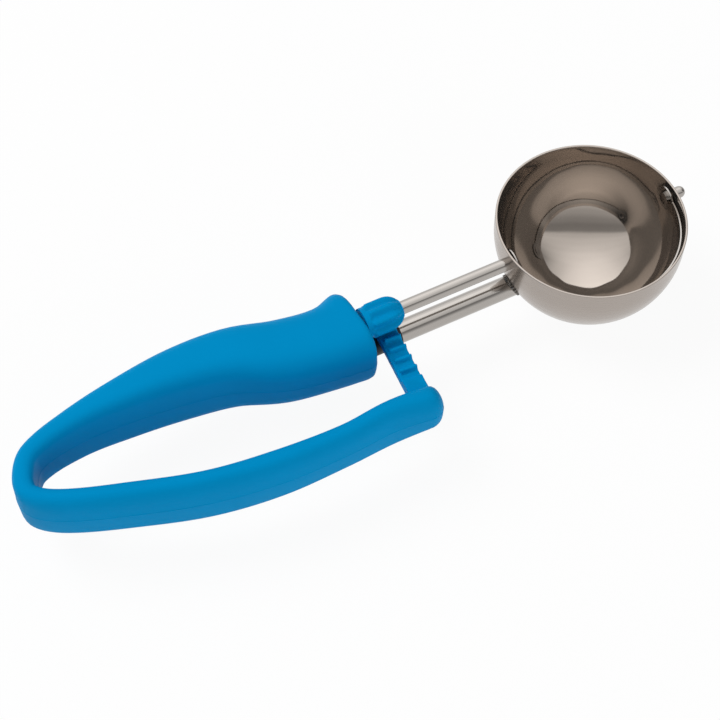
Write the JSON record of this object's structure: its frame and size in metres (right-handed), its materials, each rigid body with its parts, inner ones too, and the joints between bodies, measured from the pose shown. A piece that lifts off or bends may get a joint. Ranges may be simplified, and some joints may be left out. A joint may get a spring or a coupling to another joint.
{
  "type": "lever ice cream scoop",
  "caption": "Lever ice cream scoop: a steel bowl on a stem, a moulded squeeze-loop handle, and a rack and pinion that sweep a scraper blade round the bowl.",
  "frame": {"origin": "centre of the bowl's mouth, in the plane of the rim", "axes": "+Z out of the mouth, +X along the spindle from the handle to the far side of the bowl, +Y from the squeeze lever to the grip"},
  "size_m": [0.2191, 0.0628, 0.0344],
  "materials": {
    "blue_plastic": "satin",
    "black_plastic": "satin",
    "polished_steel": "mirror polished stainless steel",
    "stem_steel": "fine ground stainless steel",
    "blade_steel": "polished spring steel strip",
    "weld_steel": "weld bead"
  },
  "bodies": {
    "handle": {"handle_grip": "blue_plastic", "spindle_bush": "black_plastic", "stem_tube": "stem_steel", "anchor_pin": "stem_steel", "stem_sleeve": "black_plastic", "stem_weld": "weld_steel", "bowl": "polished_steel"},
    "spindle": {"spindle_rod": "stem_steel", "pinion": "blue_plastic", "scraper_blade": "blade_steel", "pivot_pin": "stem_steel"},
    "lever": {"squeeze_lever": "blue_plastic", "rack_arm": "blue_plastic"}
  },
  "joints": [
    {"name": "lever_squeeze", "type": "hinge", "parent": "handle", "child": "lever", "pos_m": [-0.1824, -0.0064, -0.0116], "axis": [0, 0, 1], "range_deg": [0, 7.27], "stiffness_Nm_per_rad": 2},
    {"name": "blade_turn", "type": "hinge", "parent": "handle", "child": "spindle", "pos_m": [0, 0, -0.0051], "axis": [1, 0, 0], "range_deg": [0, 170.1]}
  ],
  "couplings": [
    {"joint": "blade_turn", "follows": "lever_squeeze", "ratio": 23.389}
  ]
}
